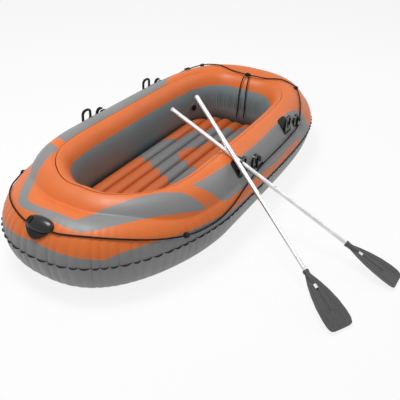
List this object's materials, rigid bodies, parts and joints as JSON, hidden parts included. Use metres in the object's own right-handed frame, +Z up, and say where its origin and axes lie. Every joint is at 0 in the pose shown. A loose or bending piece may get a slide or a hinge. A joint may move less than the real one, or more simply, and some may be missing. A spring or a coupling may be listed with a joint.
{
  "type": "inflatable boat",
  "caption": "Inflatable rowing boat with ribbed air floor, grab line, rowlocks, screw valves and two-piece aluminium oars laid out over its port side.",
  "frame": {"origin": "middle of the hull on the underside of the bottom sheet", "axes": "+X towards the bow along the hull, +Y to port, +Z up"},
  "size_m": [2.52, 2.0745, 0.6225],
  "materials": {
    "hull_orange": "orange welded vinyl, semi-gloss",
    "hull_grey": "grey welded vinyl, semi-gloss",
    "moulded_black": "black moulded plastic",
    "patch_black": "dark welded patch",
    "rope_black": "black cord",
    "clear_vinyl": "milky soft vinyl",
    "blade_plastic": "dark grey moulded plastic",
    "aluminium": "plain drawn tube",
    "plug_plastic": "pale moulded plastic",
    "button_steel": "plated steel"
  },
  "bodies": {
    "hull": {"outer_chamber": "hull_orange", "inner_chamber": "hull_grey", "bottom_sheet": "hull_grey", "seam_flange": "patch_black", "inflatable_floor": "hull_orange", "bow_handle_base": "moulded_black", "bow_handle_grip": "moulded_black", "rowlock_patch_port_forward": "patch_black", "rowlock_ring_port_forward": "moulded_black", "oar_clip_port_forward": "moulded_black", "rowlock_patch_port_aft": "patch_black", "rowlock_ring_port_aft": "moulded_black", "oar_clip_port_aft": "moulded_black", "rowlock_patch_starboard_forward": "patch_black", "rowlock_ring_starboard_forward": "moulded_black", "oar_clip_starboard_forward": "moulded_black", "rowlock_patch_starboard_aft": "patch_black", "rowlock_ring_starboard_aft": "moulded_black", "oar_clip_starboard_aft": "moulded_black", "rope_guide_port_bow": "moulded_black", "rope_guide_port_stern": "moulded_black", "rope_guide_starboard_bow": "moulded_black", "rope_guide_starboard_stern": "moulded_black", "grab_line": "rope_black", "stern_knot": "rope_black", "rope_tail_port": "rope_black", "rope_tail_starboard": "rope_black", "inner_valve_body": "hull_grey", "outer_valve_body": "hull_grey", "floor_valve_body": "clear_vinyl"},
    "port_oar": {"port_oar_blade": "blade_plastic", "port_oar_lower_shaft": "aluminium", "port_oar_upper_shaft": "aluminium", "port_oar_end_plug": "plug_plastic"},
    "port_oar_button": {"port_oar_snap_button": "button_steel"},
    "loose_oar": {"loose_oar_blade": "blade_plastic", "loose_oar_lower_shaft": "aluminium", "loose_oar_upper_shaft": "aluminium", "loose_oar_end_plug": "plug_plastic"},
    "loose_oar_button": {"loose_oar_snap_button": "button_steel"},
    "inner_cap": {"inner_valve_cap": "moulded_black"},
    "outer_cap": {"outer_valve_cap": "moulded_black"},
    "floor_plug": {"floor_valve_plug": "clear_vinyl"}
  },
  "joints": [
    {"name": "port_oar_swing", "type": "hinge", "parent": "hull", "child": "port_oar", "pos_m": [0.219, 0.5375, 0.3884], "axis": [0, 0, -1], "range_deg": [0, 10]},
    {"name": "port_oar_button_press", "type": "slide", "parent": "port_oar", "child": "port_oar_button", "axis": [-0.0147, -0.3772, -0.926], "range_m": [0, 0.0045], "stiffness_N_per_m": 300},
    {"name": "loose_oar_lift", "type": "slide", "parent": "hull", "child": "loose_oar", "axis": [0, 0, 1], "range_m": [0, 0.15]},
    {"name": "loose_oar_button_press", "type": "slide", "parent": "loose_oar", "child": "loose_oar_button", "axis": [-0.198, -0.3468, -0.9168], "range_m": [0, 0.0045], "stiffness_N_per_m": 300},
    {"name": "inner_cap_turn", "type": "hinge", "parent": "hull", "child": "inner_cap", "pos_m": [-0.64, -0.27982, 0.19215], "axis": [0.1216, 0.9922, -0.0285], "range_deg": [0, 540]},
    {"name": "outer_cap_turn", "type": "hinge", "parent": "hull", "child": "outer_cap", "pos_m": [-0.77879, -0.42008, 0.40161], "axis": [-0.113, -0.4179, 0.9014], "range_deg": [0, 540]},
    {"name": "floor_plug_flip", "type": "hinge", "parent": "hull", "child": "floor_plug", "pos_m": [-0.6125, -0.08865, 0.1069], "axis": [0, 1, 0], "range_deg": [0, 110]}
  ]
}
